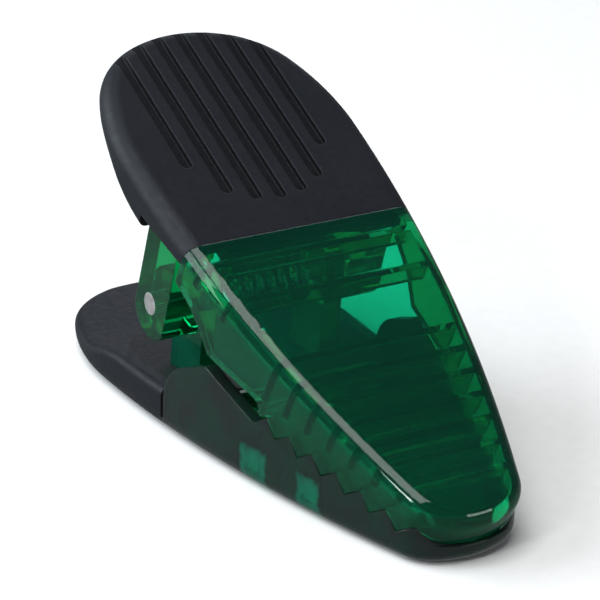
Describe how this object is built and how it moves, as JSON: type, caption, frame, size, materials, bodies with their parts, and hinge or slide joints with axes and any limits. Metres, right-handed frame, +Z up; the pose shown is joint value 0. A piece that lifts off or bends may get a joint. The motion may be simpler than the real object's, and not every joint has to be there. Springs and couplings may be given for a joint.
{
  "type": "bag clip",
  "caption": "Spring bag clip with two clear toothed jaws, rubber thumb grips, a steel hinge pin, a torsion spring and magnet strips in the back.",
  "frame": {"origin": "under the middle of the closed clip's box, on the plane that the lower half lies on", "axes": "+X towards the nose of the jaws, Y along the hinge pin, +Z up through both halves"},
  "size_m": [0.105, 0.0416, 0.0515],
  "materials": {
    "clear_green": "clear tinted moulded plastic, polished",
    "grip_rubber": "soft matte",
    "pin_steel": "nickel plated",
    "spring_steel": "drawn wire",
    "magnet_sheet": "bonded ferrite sheet, fine speckle"
  },
  "bodies": {
    "lower_half": {"lower_jaw": "clear_green", "lower_grip": "grip_rubber", "front_magnet": "magnet_sheet", "middle_magnet": "magnet_sheet", "rear_magnet": "magnet_sheet", "torsion_spring": "spring_steel"},
    "upper_half": {"upper_jaw": "clear_green", "upper_grip": "grip_rubber", "hinge_pin": "pin_steel"}
  },
  "joints": [
    {"name": "jaw_hinge", "type": "hinge", "parent": "lower_half", "child": "upper_half", "pos_m": [-0.01196, 0, 0.01904], "axis": [0, -1, 0], "range_deg": [0, 60], "stiffness_Nm_per_rad": 0.35, "springref_deg": -68.75, "deforming": ["torsion_spring"]}
  ]
}
